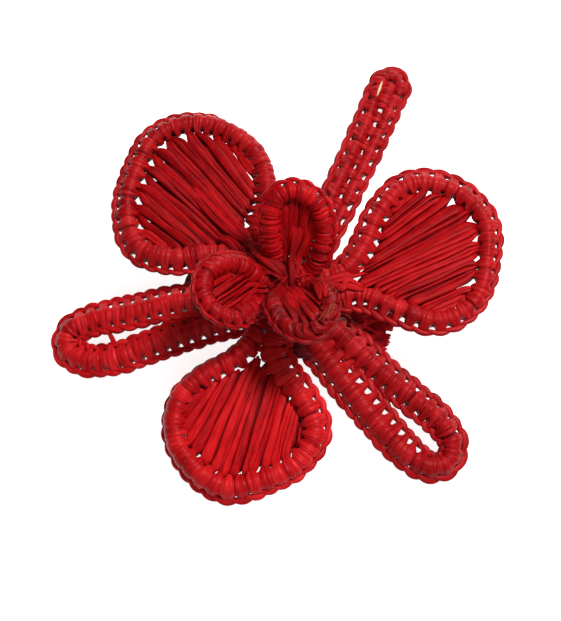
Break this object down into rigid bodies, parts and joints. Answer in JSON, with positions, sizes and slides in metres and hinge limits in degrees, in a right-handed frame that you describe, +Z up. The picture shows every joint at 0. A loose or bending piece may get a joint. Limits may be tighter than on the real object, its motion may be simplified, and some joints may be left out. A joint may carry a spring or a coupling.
{
  "type": "flower hair clip",
  "caption": "Crocheted raffia flower with round and narrow looped petals on core wire, glued to a sprung hair clip with toothed jaws.",
  "frame": {"origin": "centre of the flower, on the flat underside of the lower jaw", "axes": "+X along the clip from the jaw tips to the finger tabs, +Z up out of the flower's face"},
  "size_m": [0.0872, 0.1033, 0.0338],
  "materials": {
    "petal_raffia": "satin dyed raffia",
    "chain_raffia": "satin dyed raffia",
    "knot_raffia": "dyed raffia, tightly wound",
    "dark_raffia": "dyed raffia crochet",
    "core_wire": "lacquered florist wire",
    "glue": "clear hot glue",
    "clip_steel": "nickel plated",
    "pin_steel": "plain",
    "spring_wire": "drawn wire"
  },
  "bodies": {
    "flower": {"clip_upper_jaw": "clip_steel", "clip_hinge_pin": "pin_steel", "clip_torsion_spring": "spring_wire", "glue_layer": "glue", "backing_strip": "dark_raffia", "frayed_tuft": "dark_raffia", "hub_knot": "knot_raffia", "hub_whipping": "knot_raffia", "centre_strands": "petal_raffia", "upper_left_petal_wire": "core_wire", "upper_left_petal_band": "petal_raffia", "upper_left_petal_edge_chain": "chain_raffia", "upper_left_petal_fill": "petal_raffia", "right_petal_wire": "core_wire", "right_petal_band": "petal_raffia", "right_petal_edge_chain": "chain_raffia", "right_petal_fill": "petal_raffia", "lower_petal_wire": "core_wire", "lower_petal_band": "petal_raffia", "lower_petal_edge_chain": "chain_raffia", "lower_petal_fill": "petal_raffia", "left_loop_wire": "core_wire", "left_loop_band": "petal_raffia", "left_loop_edge_chain": "chain_raffia", "left_loop_inner_chain": "chain_raffia", "lower_right_loop_wire": "core_wire", "lower_right_loop_band": "petal_raffia", "lower_right_loop_edge_chain": "chain_raffia", "lower_right_loop_inner_chain": "chain_raffia", "upper_right_loop_wire": "core_wire", "upper_right_loop_band": "petal_raffia", "upper_right_loop_edge_chain": "chain_raffia", "upper_right_loop_seam": "petal_raffia", "top_cup_wire": "core_wire", "top_cup_band": "petal_raffia", "top_cup_edge_chain": "chain_raffia", "top_cup_fill": "petal_raffia", "left_cup_wire": "core_wire", "left_cup_band": "petal_raffia", "left_cup_edge_chain": "chain_raffia", "left_cup_fill": "petal_raffia", "front_cup_wire": "core_wire", "front_cup_band": "petal_raffia", "front_cup_edge_chain": "chain_raffia", "front_cup_fill": "petal_raffia"},
    "lower_jaw": {"clip_lower_jaw": "clip_steel"}
  },
  "joints": [
    {"name": "jaw_hinge", "type": "hinge", "parent": "flower", "child": "lower_jaw", "pos_m": [0.008, 0, 0.003], "axis": [0, -1, 0], "range_deg": [0, 24], "stiffness_Nm_per_rad": 0.03, "springref_deg": -20.05, "deforming": ["clip_torsion_spring"]}
  ]
}
